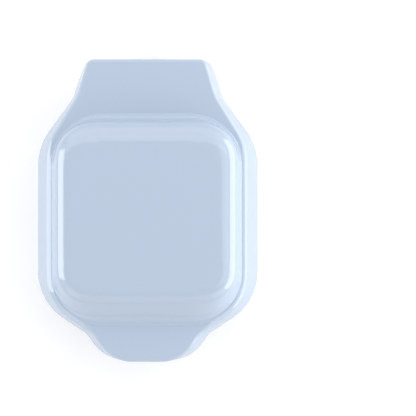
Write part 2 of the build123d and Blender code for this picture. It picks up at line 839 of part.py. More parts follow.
with BuildPart() as terminal_screws:
    with BuildSketch(Plane.XY.offset(block_top - 2 * terminal_radius)) as terminal_heads:
        with Locations((0, block_centre_y)):
            with GridLocations(terminal_pitch, 0, 4, 1):
                Circle(terminal_radius)
    extrude(amount=2 * terminal_radius - terminal_head_height)
terminal_screws.part.label = "terminal_screws"
export_step(terminal_screws.part, "parts/terminal_screws.step")

# Cord gland in the tail's rear wall and the nut behind it
with BuildPart() as cord_gland:
    with BuildSketch(Plane.XZ.offset(-gland_face_y)) as gland_head:
        with Locations((0, gland_height)):
            Circle(gland_flange)
    extrude(amount=-gland_flange_thickness)
    chamfer(cord_gland.faces().sort_by(Axis.Y)[-1].edges(), gland_flange_thickness / 2)
    with BuildSketch(Plane.XZ.offset(-gland_face_y)) as gland_body:
        with Locations((0, gland_height)):
            Circle(gland_radius)
    extrude(amount=gland_face_y - gland_inner_y)
    with BuildSketch(Plane.XZ.offset(-tail_end_y)) as cord_bore:
        with Locations((0, gland_height)):
            Circle(gland_bore)
    extrude(amount=tail_end_y - gland_inner_y, mode=Mode.SUBTRACT)
cord_gland.part.label = "cord_gland"
export_step(cord_gland.part, "parts/cord_gland.step")

with BuildPart() as gland_nut:
    with BuildSketch(Plane.XZ.offset(-gland_inner_y)) as nut:
        with Locations((0, gland_height)):
            RegularPolygon(gland_boss_radius, 6)
            Circle(gland_radius + screw_clearance, mode=Mode.SUBTRACT)
    extrude(amount=-gland_nut_thickness)
gland_nut.part.label = "gland_nut"
export_step(gland_nut.part, "parts/gland_nut.step")

# Indicator in the base's front wall: lens, lamp and the lamp's lead
with BuildPart() as indicator_lens:
    with BuildSketch(Plane.XZ.offset(-lens_flange_y)) as lens:
        with Locations((0, lens_height)):
            Circle(lens_radius)
    extrude(amount=lens_flange_y - lens_wall_y + lens_flange_thickness / 2)
    fillet(indicator_lens.faces().sort_by(Axis.Y)[0].edges(), lens_radius / 3)
    with BuildSketch(Plane.XZ.offset(-lens_flange_y)) as lens_rim:
        with Locations((0, lens_height)):
            Circle(lens_flange)
    extrude(amount=-lens_flange_thickness)
indicator_lens.part.label = "indicator_lens"
export_step(indicator_lens.part, "parts/indicator_lens.step")

lamp_front_y = lens_flange_y + lens_flange_thickness
with BuildPart() as indicator_lamp:
    with BuildSketch(Plane.XZ.offset(-lamp_front_y)) as bulb:
        with Locations((0, lens_height)):
            Circle(lamp_radius)
    extrude(amount=-lamp_length)
indicator_lamp.part.label = "indicator_lamp"
export_step(indicator_lamp.part, "parts/indicator_lamp.step")


def lead(points, plane, start, radius):
    """Insulated lead: a round section along straight runs joined by bends, in one plane."""
    with BuildPart() as made:
        with BuildLine(plane) as route:
            FilletPolyline(*points, radius=lead_bend)
        with BuildSketch(start) as section:
            Circle(radius)
        sweep(path=route.line)
    return made.part


lead_plane = Plane.XY.offset(lead_height)
blade_rear_y = thermostat_centre_y + blade_width / 2
pin_rear_y = element_drop_y + element_pin_radius
pin_front_y = element_drop_y - element_pin_radius
return_x = -1.5 * terminal_pitch
supply_x = -0.5 * terminal_pitch
turn_y = element_drop_y + 2.5 * lead_bend

# Supply to the thermostat
with BuildPart() as supply_lead:
    with BuildSketch(Plane.XZ.offset(-blade_rear_y)) as supply_section:
        with Locations((supply_x, lead_height)):
            Circle(lead_radius)
    extrude(amount=-(block_front_y - blade_rear_y))
supply_lead.part.label = "supply_lead"
export_step(supply_lead.part, "parts/supply_lead.step")

# Return from the element's left pin
with BuildPart() as return_lead:
    add(lead(
        [
            (return_x, block_front_y), (return_x, turn_y),
            (-element_spread, turn_y), (-element_spread, pin_rear_y),
        ],
        lead_plane,
        Plane(origin=(return_x, block_front_y, lead_height), z_dir=(0, -1, 0)),
        lead_radius,
    ))
return_lead.part.label = "return_lead"
export_step(return_lead.part, "parts/return_lead.step")

# Link from the thermostat through the fuse to the element's right pin
fuse_left_x = fuse_x - fuse_length / 2
fuse_right_x = fuse_x + fuse_length / 2
with BuildPart() as link_leads:
    add(lead(
        [(blade_spread, blade_rear_y), (blade_spread, fuse_centre_y), (fuse_left_x, fuse_centre_y)],
        lead_plane,
        Plane(origin=(blade_spread, blade_rear_y, lead_height), z_dir=(0, 1, 0)),
        lead_radius,
    ))
    add(lead(
        [(fuse_right_x, fuse_centre_y), (element_spread, fuse_centre_y), (element_spread, pin_front_y)],
        lead_plane,
        Plane(origin=(fuse_right_x, fuse_centre_y, lead_height), z_dir=(1, 0, 0)),
        lead_radius,
    ))
link_leads.part.label = "link_leads"
export_step(link_leads.part, "parts/link_leads.step")

# Lamp's lead, along the middle of the base and up to the lamp
lamp_rear_y = lamp_front_y + lamp_length
lamp_rise_y = lamp_rear_y + 2 * lead_bend
with BuildPart() as lamp_lead:
    add(lead(
        [(block_front_y, lamp_lead_height), (lamp_rise_y, lamp_lead_height), (lamp_rise_y, lens_height),
         (lamp_rear_y, lens_height)],
        Plane.YZ,
        Plane(origin=(0, block_front_y, lamp_lead_height), z_dir=(0, -1, 0)),
        lamp_lead_radius,
    ))
lamp_lead.part.label = "lamp_lead"
export_step(lamp_lead.part, "parts/lamp_lead.step")


def turned_over(source, name):
    """A lower piece turned over the parting plane, as the lid's twin of it."""
    with BuildPart() as twin:
        mirror(source, about=Plane.XY.offset(middle_z))
    twin.part.label = name
    export_step(twin.part, "parts/" + name + ".step")


turned_over(lower_plate.part, "upper_plate")
turned_over(lower_element.part, "upper_element")
turned_over(lower_element_bushings.part, "upper_element_bushings")
turned_over(lower_element_pins.part, "upper_element_pins")
turned_over(lower_element_clamp.part, "upper_element_clamp")
turned_over(clamp_screw, "upper_clamp_screw")
turned_over(lower_heat_shield.part, "upper_heat_shield")
turned_over(plate_screws, "upper_plate_screws")

# Lid housing: hollow skirt with a raised square dome, open below
ear_foot = pin_z - ear_radius - overrun
ceiling = tab_z - shell_wall
dome_cavity_floor = ceiling - overrun
dome_ceiling = dome_top - shell_wall
with BuildPart() as dome_cavity:
    loft(sections=[
        dome_rectangle(shell_wall, (dome_cavity_floor - ledge_z) / dome_height, dome_cavity_floor),
        dome_rectangle(shell_wall, 1 - shell_wall / dome_height, dome_ceiling),
    ])
    fillet(dome_cavity.faces().sort_by(Axis.Z)[-1].edges(), dome_crown_radius - shell_wall)

with BuildPart() as dome:
    loft(sections=[dome_rectangle(0, 0, ledge_z), dome_rectangle(0, 1, dome_top)])
    fillet(dome.faces().sort_by(Axis.Z)[-1].edges(), dome_crown_radius)

# Low plinth round the dome's foot, a small step above the tail and the handle
with BuildPart() as plinth:
    extrude(
        lid_rectangle(
            dome_root_half + plinth_side_margin,
            dome_root_rear + plinth_rear_margin,
            dome_root_front - plinth_front_margin,
            plinth_corner,
            ledge_z,
        ),
        amount=-(plinth_step + shell_wall / 2),
    )
    fillet(plinth.faces().sort_by(Axis.Z)[-1].edges(), plinth_edge_radius)

lid_post_places = [
    (front_post_x, front_post_y),
    (-front_post_x, front_post_y),
    (lid_rear_post_x, plate_rear + lid_rear_post_gap),
    (-lid_rear_post_x, plate_rear + lid_rear_post_gap),
]
frame_top = lid_foot + deck
with BuildPart() as lid_housing:
    loft(sections=[outline(skirt_section(ear_foot), ear_foot), outline(skirt_section(tab_z), tab_z)])
    fillet(lid_housing.faces().sort_by(Axis.Z)[-1].edges(), ledge_radius)
    add(plinth.part)
    loft(
        sections=[
            outline(skirt_section(ear_foot - overrun, shell_wall), ear_foot - overrun),
            outline(skirt_section(ceiling, shell_wall), ceiling),
        ],
        mode=Mode.SUBTRACT,
    )
    add(dome.part)
    add(dome_cavity.part, mode=Mode.SUBTRACT)
    # Inner ribs that hold the hinge pin
    with BuildSketch(Plane.YZ.offset(rib_inner)) as rib:
        with Locations((pin_y, pin_z)):
            Circle(knuckle_radius)
            rib_reach = ceiling + shell_wall / 2 - pin_z
            Rectangle(2 * knuckle_radius, rib_reach, align=(Align.CENTER, Align.MIN))
    extrude(amount=rib_thickness)
    with BuildSketch(Plane.YZ.offset(-rib_inner)) as left_rib:
        add(rib.sketch_local)
    extrude(amount=-rib_thickness)
    # Screw posts for the inner frame
    with BuildSketch(Plane.XY.offset(frame_top)) as lid_posts:
        with Locations(*lid_post_places):
            Circle(lid_post_radius)
    extrude(amount=ceiling + shell_wall / 2 - frame_top)
    with BuildSketch(Plane.XY.offset(frame_top)) as lid_pilots:
        with Locations(*lid_post_places):
            Circle(small_screw_radius + screw_clearance)
    extrude(amount=screw_bite + screw_run_out, mode=Mode.SUBTRACT)
    # Skirt cut level at its foot, but round the pin at the ears
    with BuildSketch(Plane.YZ) as skirt_foot:
        Rectangle(4 * tail_end_y, 2 * lid_foot)
        with Locations((pin_y, pin_z)):
            Circle(ear_radius, mode=Mode.SUBTRACT)
    extrude(amount=2 * skirt_half, both=True, mode=Mode.SUBTRACT)
    # Notch in the rear wall for the knuckle
    with BuildSketch(Plane.XZ.offset(-pin_y - knuckle_radius)) as notch:
        Rectangle(2 * rib_inner, 2 * (pin_z + knuckle_radius + notch_margin))
    extrude(amount=-2 * pin_from_end, mode=Mode.SUBTRACT)
    with BuildSketch(Plane.YZ) as rib_holes:
        with Locations((pin_y, pin_z)):
            Circle(pin_radius + pin_fit)
    extrude(amount=rib_outer, both=True, mode=Mode.SUBTRACT)
lid_housing.part.label = "lid_housing"
export_step(lid_housing.part, "parts/lid_housing.step")

# Inner frame that closes the lid's underside round the plate, with a wall before the hinge
frame_rear_y = plate_rear + frame_setback
with BuildPart() as lid_frame:
    loft(sections=[
        outline(skirt_section(lid_foot, shell_wall + frame_clearance), lid_foot),
        outline(skirt_section(ceiling, shell_wall + frame_clearance), ceiling),
    ])
    with BuildSketch(Plane.YZ) as frame_profile:
        with Locations((frame_rear_y, lid_foot)):
            Rectangle(2 * tail_end_y, deck, align=(Align.MAX, Align.MIN))
            Rectangle(shell_wall, ceiling - frame_clearance - lid_foot, align=(Align.MAX, Align.MIN))
    extrude(amount=2 * skirt_half, both=True, mode=Mode.INTERSECT)
    lid_seat = plate_square(flange_half + frame_clearance, waffle_corner + flange_width, lid_foot)
    extrude(lid_seat, amount=flush_gap + flange_thickness, mode=Mode.SUBTRACT)
    lid_opening = plate_square(opening_half, waffle_corner + plate_wall, lid_foot)
    extrude(lid_opening, amount=deck, mode=Mode.SUBTRACT)
    with BuildSketch(Plane.XY.offset(lid_foot)) as frame_holes:
        with Locations(*lid_post_places):
            Circle(small_screw_radius + frame_clearance)
    extrude(amount=deck, mode=Mode.SUBTRACT)
    with BuildSketch(Plane.XY.offset(lid_foot)) as head_recesses:
        with Locations(*lid_post_places):
            Circle(small_screw_head + frame_clearance)
    extrude(amount=small_screw_head_height, mode=Mode.SUBTRACT)
lid_frame.part.label = "lid_frame"
export_step(lid_frame.part, "parts/lid_frame.step")

screws(
    "lid_frame_screws", lid_post_places, lid_foot + small_screw_head_height, small_head,
    small_screw_radius, screw_bite,
)

# Hinge pin with its clips, and the washers beside the knuckle
with BuildPart() as hinge_pin:
    with BuildSketch(Plane.YZ) as pin_section:
        with Locations((pin_y, pin_z)):
            Circle(pin_radius)
    extrude(amount=rib_outer + pin_overhang, both=True)
    chamfer(hinge_pin.edges().filter_by(GeomType.CIRCLE), pin_radius / 5)
hinge_pin.part.label = "hinge_pin"
export_step(hinge_pin.part, "parts/hinge_pin.step")


def rings(name, inner, outer, first_x, thickness):
    """A ring on the hinge pin at each side."""
    with BuildPart() as pair:
        with BuildSketch(Plane.YZ.offset(first_x)) as right_ring:
            with Locations((pin_y, pin_z)):
                Circle(outer)
                Circle(inner, mode=Mode.SUBTRACT)
        extrude(amount=thickness)
        mirror(about=Plane.YZ)
    pair.part.label = name
    export_step(pair.part, "parts/" + name + ".step")


rings(
    "hinge_washers", pin_radius + pin_running, washer_radius, knuckle_half + washer_gap,
    washer_thickness,
)
rings("pin_clips", pin_radius + pin_fit, clip_radius, rib_outer + washer_gap, clip_thickness)
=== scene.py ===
"""Looks of a small hinged waffle maker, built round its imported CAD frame."""

import json
import logging
import math
from dataclasses import dataclass, field
from enum import Enum
from typing import Any, Iterable, Sequence

import bmesh
import bpy
import numpy as np
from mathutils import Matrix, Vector

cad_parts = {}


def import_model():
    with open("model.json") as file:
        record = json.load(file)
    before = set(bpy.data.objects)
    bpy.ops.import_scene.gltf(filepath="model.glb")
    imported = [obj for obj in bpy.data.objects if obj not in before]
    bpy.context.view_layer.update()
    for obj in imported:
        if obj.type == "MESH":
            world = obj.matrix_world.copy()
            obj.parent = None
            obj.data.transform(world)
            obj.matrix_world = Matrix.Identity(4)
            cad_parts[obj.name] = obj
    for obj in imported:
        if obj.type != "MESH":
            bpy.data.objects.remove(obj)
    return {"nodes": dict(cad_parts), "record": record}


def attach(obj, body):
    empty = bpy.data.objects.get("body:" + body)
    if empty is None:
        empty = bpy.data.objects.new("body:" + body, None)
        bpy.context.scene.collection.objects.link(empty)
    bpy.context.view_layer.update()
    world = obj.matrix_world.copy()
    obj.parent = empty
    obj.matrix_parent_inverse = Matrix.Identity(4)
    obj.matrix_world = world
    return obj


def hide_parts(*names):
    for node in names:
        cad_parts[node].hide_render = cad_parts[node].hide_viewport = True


LOG = logging.getLogger("scene")
MM = 0.001
WELD_DISTANCE = 1e-7
NEARLY_NOUGHT = 1e-9

Colour = tuple[float, float, float]
Place = tuple[float, float, float]
Pair = tuple[float, float]


class Body(Enum):
    """The two rigid bodies that pieces ride on."""

    BASE = "base"
    LID = "lid"


class Light(Enum):
    """The studio's lamps by their side of the object."""

    LEFT = "left_panel"
    RIGHT = "right_panel"
    REAR = "rear_panel"
    FRONT = "front_panel"
    FRONT_LEFT = "front_left_panel"
    FRONT_RIGHT = "front_right_panel"
    HIGH_RIGHT = "high_right_panel"
    LOW_REAR = "low_rear_panel"


class Detail(Enum):
    """Octaves of a noise."""

    SOFT = 2.0
    RICH = 3.0


class Value:
    """A shader socket that carries a number, with arithmetic on it."""

    def __init__(self, shader: "Shader", socket: bpy.types.NodeSocket) -> None:
        """Wraps a socket.

        Args:
            shader: The shader that holds it.
            socket: The output socket.
        """
        self.shader = shader
        self.socket = socket

    def math(self, operation: str, *operands: "Value | float") -> "Value":
        """Adds a Math node.

        Args:
            operation: The node's operation.
            *operands: Its inputs in order.

        Returns:
            The node's result.
        """
        settings = {"operation": operation}
        node = self.shader.node("ShaderNodeMath", settings, dict(enumerate(operands)))
        return Value(self.shader, node.outputs[0])

    def __add__(self, other: "Value | float") -> "Value":
        """Sum."""
        return self.math("ADD", self, other)

    def __radd__(self, other: float) -> "Value":
        """Sum with a number on the left."""
        return self.math("ADD", other, self)

    def __sub__(self, other: "Value | float") -> "Value":
        """Difference."""
        return self.math("SUBTRACT", self, other)

    def __rsub__(self, other: float) -> "Value":
        """Difference from a number on the left."""
        return self.math("SUBTRACT", other, self)

    def __mul__(self, other: "Value | float") -> "Value":
        """Product."""
        return self.math("MULTIPLY", self, other)

    def __rmul__(self, other: float) -> "Value":
        """Product with a number on the left."""
        return self.math("MULTIPLY", other, self)

    def above(self, level: float) -> "Value":
        """One where the value is above a level, else nought."""
        return self.math("GREATER_THAN", self, level)

    def clamped(self) -> "Value":
        """The value held between nought and one."""
        return self.math("MINIMUM", self.math("MAXIMUM", self, 0.0), 1.0)

    def swung(self, span: float) -> "Value":
        """A value between nought and one, moved to swing round nought over a span."""
        return (self - 0.5) * span


class Shader:
    """A material's node tree under construction."""

    BEVEL_SAMPLES = 4

    def __init__(self, name: str) -> None:
        """Makes an empty material.

        Args:
            name: The material's name.
        """
        self.material = bpy.data.materials.new(name)
        self.material.use_nodes = True
        self.tree = self.material.node_tree
        self.tree.nodes.clear()

    def node(
        self,
        kind: str,
        settings: dict[str, Any] | None = None,
        sockets: dict[str | int, Any] | None = None,
    ) -> bpy.types.Node:
        """Adds a node.

        Args:
            kind: The node's type.
            settings: Its attributes, which are set first.
            sockets: Values or links of its input sockets, by name or by number.

        Returns:
            The new node.
        """
        node = self.tree.nodes.new(kind)
        for key, setting in (settings or {}).items():
            setattr(node, key, setting)
        for key, given in (sockets or {}).items():
            self.feed(node.inputs[key], given)
        return node

    def feed(self, socket: bpy.types.NodeSocket, given: Any) -> None:
        """Links an input socket or sets its value.

        Args:
            socket: The input socket.
            given: A wrapped socket, a socket or a plain value.
        """
        if isinstance(given, Value):
            self.tree.links.new(given.socket, socket)
        elif isinstance(given, bpy.types.NodeSocket):
            self.tree.links.new(given, socket)
        elif socket.type == "RGBA":
            socket.default_value = (*given, 1.0)
        else:
            socket.default_value = given

    def place(self) -> bpy.types.NodeSocket:
        """The point's place in its object's own coordinates."""
        return self.node("ShaderNodeTexCoord").outputs["Object"]

    def stretched(self, scale: Sequence[float]) -> bpy.types.NodeSocket:
        """The point's place scaled along each axis."""
        sockets = {"Vector": self.place(), "Scale": scale}
        return self.node("ShaderNodeMapping", None, sockets).outputs[0]

    def noise(
        self,
        scale: float,
        detail: Detail = Detail.SOFT,
        place: bpy.types.NodeSocket | None = None,
    ) -> Value:
        """Soft noise between nought and one.

        Args:
            scale: Noise cells per metre.
            detail: Octaves.
            place: Coordinates, or None for the object's own.

        Returns:
            The noise.
        """
        sockets = {"Vector": place or self.place(), "Scale": scale, "Detail": detail.value}
        return Value(self, self.node("ShaderNodeTexNoise", None, sockets).outputs[0])

    def tinted(self, share: Value, first: Colour, second: Colour) -> bpy.types.NodeSocket:
        """Mixes two colours.

        Args:
            share: How much of the second colour.
            first: Colour where the share is nought.
            second: Colour where the share is one.

        Returns:
            The mixed colour.
        """
        node = self.node("ShaderNodeMix", {"data_type": "RGBA"}, {0: share, 6: first, 7: second})
        return node.outputs[2]

    def bump(self, height: Value, distance: float, edge: float) -> bpy.types.NodeSocket:
        """Turns a height into a normal that also rounds the piece's edges.

        Args:
            height: The height, from nought to one.
            distance: What a height of one stands for, in metres.
            edge: Radius of the rounded edges, in metres.

        Returns:
            The normal.
        """
        settings = {"samples": self.BEVEL_SAMPLES}
        rounded = self.node("ShaderNodeBevel", settings, {"Radius": edge}).outputs[0]
        sockets = {"Height": height, "Distance": distance, "Normal": rounded}
        return self.node("ShaderNodeBump", None, sockets).outputs[0]

    def ended(self, surface: bpy.types.NodeSocket) -> bpy.types.Material:
        """Joins a surface to the output and returns the material."""
        self.node("ShaderNodeOutputMaterial", None, {"Surface": surface})
        return self.material

    def principled(self, sockets: dict[str, Any]) -> bpy.types.Material:
        """Ends the tree in a Principled surface.

        Args:
            sockets: The surface's socket values or links.

        Returns:
            The finished material.
        """
        return self.ended(self.node("ShaderNodeBsdfPrincipled", None, sockets).outputs[0])


@dataclass(frozen=True)
class MouldedPlastic:
    """Glossy moulded plastic with a faint flow marking and orange peel."""

    name: str
    colour: Colour
    deep: Colour
    roughness: float = 0.16
    specular: float = 0.0
    coat: float = 1.0
    coat_index: float = 1.8
    coat_roughness: float = 0.05
    flow_scale: float = 9.0
    flow_share: float = 0.8
    flow_swing: float = 0.05
    grain_scale: float = 420.0
    grain_swing: float = 0.03
    peel_scale: float = 160.0
    peel_depth: float = 0.00001
    edge: float = 0.0005

    def material(self) -> bpy.types.Material:
        """Builds the material, whose gloss is its coat's alone.

        Returns:
            The finished material.
        """
        shader = Shader(self.name)
        flow = shader.noise(self.flow_scale, Detail.RICH)
        grain = shader.noise(self.grain_scale)
        peel = shader.noise(self.peel_scale)
        share = flow * self.flow_share + grain * (1 - self.flow_share)
        rough = self.roughness + flow.swung(self.flow_swing) + grain.swung(self.grain_swing)
        return shader.principled({
            "Base Color": shader.tinted(share.clamped(), self.colour, self.deep),
            "Roughness": rough,
            "Specular IOR Level": self.specular,
            "Coat Weight": self.coat,
            "Coat IOR": self.coat_index,
            "Coat Roughness": self.coat_roughness,
            "Normal": shader.bump(peel, self.peel_depth, self.edge),
        })


@dataclass(frozen=True)
class NonStick:
    """Dark satin non-stick coating with a fine sprayed speckle."""

    name: str
    colour: Colour = (0.022, 0.022, 0.024)
    speck: Colour = (0.075, 0.075, 0.08)
    roughness: float = 0.36
    speckle_scale: float = 2600.0
    speckle_level: float = 0.62
    speckle_share: float = 0.55
    spray_scale: float = 700.0
    spray_swing: float = 0.1
    spray_depth: float = 0.00003
    cloud_scale: float = 30.0
    cloud_share: float = 0.25
    cloud_swing: float = 0.12
    edge: float = 0.0006

    def material(self) -> bpy.types.Material:
        """Builds the material.

        Returns:
            The finished material.
        """
        shader = Shader(self.name)
        speckle = shader.noise(self.speckle_scale)
        spray = shader.noise(self.spray_scale, Detail.RICH)
        cloud = shader.noise(self.cloud_scale)
        share = speckle.above(self.speckle_level) * self.speckle_share + cloud * self.cloud_share
        rough = self.roughness + cloud.swung(self.cloud_swing) + spray.swung(self.spray_swing)
        return shader.principled({
            "Base Color": shader.tinted(share.clamped(), self.colour, self.speck),
            "Roughness": rough,
            "Normal": shader.bump(spray, self.spray_depth, self.edge),
        })


@dataclass(frozen=True)
class BareMetal:
    """Bare or plated metal with a brushed or rolled grain along one axis."""

    name: str
    colour: Colour
    stain: Colour
    roughness: float
    stretch: tuple[float, float, float] = (1.0, 14.0, 14.0)
    grain_scale: float = 240.0
    grain_swing: float = 0.16
    grain_depth: float = 0.00002
    cloud_scale: float = 45.0
    cloud_swing: float = 0.1
    edge: float = 0.0002

    def material(self) -> bpy.types.Material:
        """Builds the material.

        Returns:
            The finished material.
        """
        shader = Shader(self.name)
        grain = shader.noise(self.grain_scale, Detail.RICH, shader.stretched(self.stretch))
        cloud = shader.noise(self.cloud_scale, Detail.RICH)
        rough = self.roughness + grain.swung(self.grain_swing) + cloud.swung(self.cloud_swing)
        return shader.principled({
            "Base Color": shader.tinted(cloud, self.colour, self.stain),
            "Metallic": 1.0,
            "Roughness": rough,
            "Normal": shader.bump(grain, self.grain_depth, self.edge),
        })


@dataclass(frozen=True)
class PlainMatter:
    """Matt plastic, rubber, ceramic or nylon with a fine grain."""

    name: str
    colour: Colour
    worn: Colour
    roughness: float
    grain_scale: float = 900.0
    grain_share: float = 0.3
    grain_depth: float = 0.00004
    cloud_scale: float = 60.0
    cloud_swing: float = 0.1
    edge: float = 0.0003

    def material(self) -> bpy.types.Material:
        """Builds the material.

        Returns:
            The finished material.
        """
        shader = Shader(self.name)
        grain = shader.noise(self.grain_scale)
        cloud = shader.noise(self.cloud_scale)
        share = cloud * (1 - self.grain_share) + grain * self.grain_share
        return shader.principled({
            "Base Color": shader.tinted(share.clamped(), self.colour, self.worn),
            "Roughness": self.roughness + cloud.swung(self.cloud_swing),
            "Normal": shader.bump(grain, self.grain_depth, self.edge),
        })


@dataclass(frozen=True)
class WovenSleeve:
    """Woven heat-resistant sleeve on a lead."""

    name: str
    colour: Colour
    gap: Colour
    roughness: float = 0.85
    strand_scale: float = 900.0
    strand_depth: float = 0.00012
    edge: float = 0.0001

    def strands(self, shader: Shader, side: float) -> Value:
        """Diagonal strands that lean to one side.

        Args:
            shader: The sleeve's shader.
            side: 1 or -1 for the side they lean to.

        Returns:
            Their height, from nought to one.
        """
        sockets = {"Vector": shader.stretched((side, 1.0, 1.0)), "Scale": self.strand_scale}
        node = shader.node("ShaderNodeTexWave", {"bands_direction": "DIAGONAL"}, sockets)
        return Value(shader, node.outputs[1])

    def material(self) -> bpy.types.Material:
        """Builds the material.

        Returns:
            The finished material.
        """
        shader = Shader(self.name)
        weave = self.strands(shader, 1.0) * 0.5 + self.strands(shader, -1.0) * 0.5
        return shader.principled({
            "Base Color": shader.tinted(weave, self.gap, self.colour),
            "Roughness": self.roughness,
            "Normal": shader.bump(weave, self.strand_depth, self.edge),
        })


@dataclass(frozen=True)
class TintedLens:
    """Clear tinted plastic of the indicator."""

    name: str
    colour: Colour
    shade: float = 0.8
    roughness: float = 0.12
    coat: float = 0.6
    transmission: float = 0.35
    haze_scale: float = 300.0
    haze_swing: float = 0.06

    def material(self) -> bpy.types.Material:
        """Builds the material.

        Returns:
            The finished material.
        """
        shader = Shader(self.name)
        haze = shader.noise(self.haze_scale)
        shaded = tuple(self.shade * part for part in self.colour)
        return shader.principled({
            "Base Color": shader.tinted(haze, self.colour, shaded),
            "Roughness": self.roughness + haze.swung(self.haze_swing),
            "Coat Weight": self.coat,
            "Transmission Weight": self.transmission,
        })


@dataclass(frozen=True)
class Corner:
    """A corner of a plan outline, in millimetres, with its rounding."""

    x: float
    y: float
    radius: float


@dataclass(frozen=True)
class Outline:
    """A closed plan outline, clockwise from above, with rounded corners."""

    corners: tuple[Corner, ...]

    @classmethod
    def mirrored(cls, right: Sequence[tuple[float, float, float]]) -> "Outline":
        """Outline from the corners of its right side.

        Args:
            right: Corners as x, y and radius, from the rear to the front.

        Returns:
            The symmetric outline.
        """
        side = [Corner(*numbers) for numbers in right]
        return cls(tuple(side + [Corner(-c.x, c.y, c.radius) for c in reversed(side)]))

    def moved_in(self, inset: float) -> "Outline":
        """The outline moved in by the same distance all round.

        Args:
            inset: Distance in millimetres.

        Returns:
            The new outline.
        """
        moved = []
        count = len(self.corners)
        for index, here in enumerate(self.corners):
            before, after = self.corners[index - 1], self.corners[(index + 1) % count]
            arriving = Vector((here.x - before.x, here.y - before.y)).normalized()
            leaving = Vector((after.x - here.x, after.y - here.y)).normalized()
            inward = Vector((arriving.y + leaving.y, -arriving.x - leaving.x)).normalized()
            reach = inset / inward.dot(Vector((arriving.y, -arriving.x)))
            outer = arriving.x * leaving.y < arriving.y * leaving.x
            radius = here.radius - inset if outer else here.radius + inset
            moved.append(Corner(here.x + reach * inward.x, here.y + reach * inward.y, radius))
        return Outline(tuple(moved))

    def between(self, other: "Outline", share: float) -> "Outline":
        """An outline part of the way to another.

        Args:
            other: The outline at share one, with as many corners.
            share: Nought for this outline.

        Returns:
            The new outline.
        """
        return Outline(tuple(
            Corner(
                a.x + share * (b.x - a.x),
                a.y + share * (b.y - a.y),
                a.radius + share * (b.radius - a.radius),
            )
            for a, b in zip(self.corners, other.corners)
        ))

    def points(self, arc_steps: int = 28) -> np.ndarray:
        """The outline as a polyline.

        Args:
            arc_steps: Steps on each rounded corner.

        Returns:
            Points as rows of x and y.
        """
        made = []
        spots = [Vector((corner.x, corner.y)) for corner in self.corners]
        for index, corner in enumerate(self.corners):
            here = spots[index]
            arriving = (here - spots[index - 1]).normalized()
            leaving = (spots[(index + 1) % len(spots)] - here).normalized()
            across = arriving.x * leaving.y - arriving.y * leaving.x
            turn = math.atan2(across, arriving.dot(leaving))
            start = here - arriving * corner.radius * math.tan(abs(turn) / 2)
            side = math.copysign(corner.radius, turn)
            centre = start + Vector((-arriving.y, arriving.x)) * side
            spoke = start - centre
            for step in range(arc_steps + 1):
                angle = turn * step / arc_steps
                cos, sin = math.cos(angle), math.sin(angle)
                made.append((
                    centre.x + spoke.x * cos - spoke.y * sin,
                    centre.y + spoke.x * sin + spoke.y * cos,
                ))
        return np.array(made)

    def reach(self, angles: np.ndarray) -> np.ndarray:
        """Distance from the middle to the outline along each angle.

        Args:
            angles: Rising angles from -pi to pi, measured from +X.

        Returns:
            Distances in millimetres.
        """
        points = self.points()
        bearing = np.arctan2(points[:, 1], points[:, 0])
        order = np.argsort(bearing, kind="stable")
        points, bearing = points[order], bearing[order]
        points = np.vstack([points[-1:], points, points[:1]])
        bearing = np.concatenate([[bearing[-1] - math.tau], bearing, [bearing[0] + math.tau]])
        index = np.clip(np.searchsorted(bearing, angles, side="right") - 1, 0, len(points) - 2)
        start, end = points[index], points[index + 1]
        edge = end - start
        ray = np.column_stack([np.cos(angles), np.sin(angles)])
        top = start[:, 0] * edge[:, 1] - start[:, 1] * edge[:, 0]
        under = ray[:, 0] * edge[:, 1] - ray[:, 1] * edge[:, 0]
        flat = np.abs(under) < NEARLY_NOUGHT
        near = np.hypot(start[:, 0], start[:, 1])
        return np.where(flat, near, top / np.where(flat, 1.0, under))


class MeshMaker:
    """Collects vertices and faces in millimetres and turns them into an object."""

    def __init__(self, name: str) -> None:
        """Starts a piece.

        Args:
            name: The piece's name.
        """
        self.name = name
        self.vertices: list[Place] = []
        self.faces: list[tuple[int, ...]] = []

    def ring(self, points: np.ndarray) -> list[int]:
        """Adds a ring of points.

        Args:
            points: Rows of x, y and z.

        Returns:
            The points' indices.
        """
        first = len(self.vertices)
        self.vertices.extend(map(tuple, points))
        return list(range(first, first + len(points)))

    def bridge(self, one: list[int], two: list[int]) -> None:
        """Joins two closed rings of equal length with quads.

        Args:
            one: The first ring's indices.
            two: The second ring's indices.
        """
        count = len(one)
        for here in range(count):
            there = (here + 1) % count
            self.faces.append((one[here], one[there], two[there], two[here]))

    def fan(self, ring: list[int], tip: Sequence[float]) -> None:
        """Closes a ring to one point.

        Args:
            ring: The ring's indices.
            tip: The point.
        """
        last = len(self.vertices)
        self.vertices.append(tuple(tip))
        count = len(ring)
        for here in range(count):
            self.faces.append((ring[here], ring[(here + 1) % count], last))

    def stack(self, rings: Iterable[np.ndarray]) -> tuple[list[int], list[int]]:
        """Adds rings and joins each to the next.

        Args:
            rings: Rings of equal length.

        Returns:
            The first and the last ring's indices.
        """
        first: list[int] = []
        last: list[int] = []
        for points in rings:
            added = self.ring(points)
            if last:
                self.bridge(last, added)
            else:
                first = added
            last = added
        return first, last

    def finish(self, smooth_angle: float = 35.0) -> bpy.types.Object:
        """Makes the object.

        Args:
            smooth_angle: Edges sharper than this stay sharp, in degrees.

        Returns:
            The new object, in metres.
        """
        mesh = bpy.data.meshes.new(self.name)
        places = [tuple(MM * part for part in vertex) for vertex in self.vertices]
        mesh.from_pydata(places, [], self.faces)
        made = bmesh.new()
        made.from_mesh(mesh)
        bmesh.ops.remove_doubles(made, verts=made.verts, dist=WELD_DISTANCE)
        bmesh.ops.recalc_face_normals(made, faces=made.faces)
        made.to_mesh(mesh)
        made.free()
        thing = bpy.data.objects.new(self.name, mesh)
        bpy.context.scene.collection.objects.link(thing)
        smooth(thing, smooth_angle)
        return thing


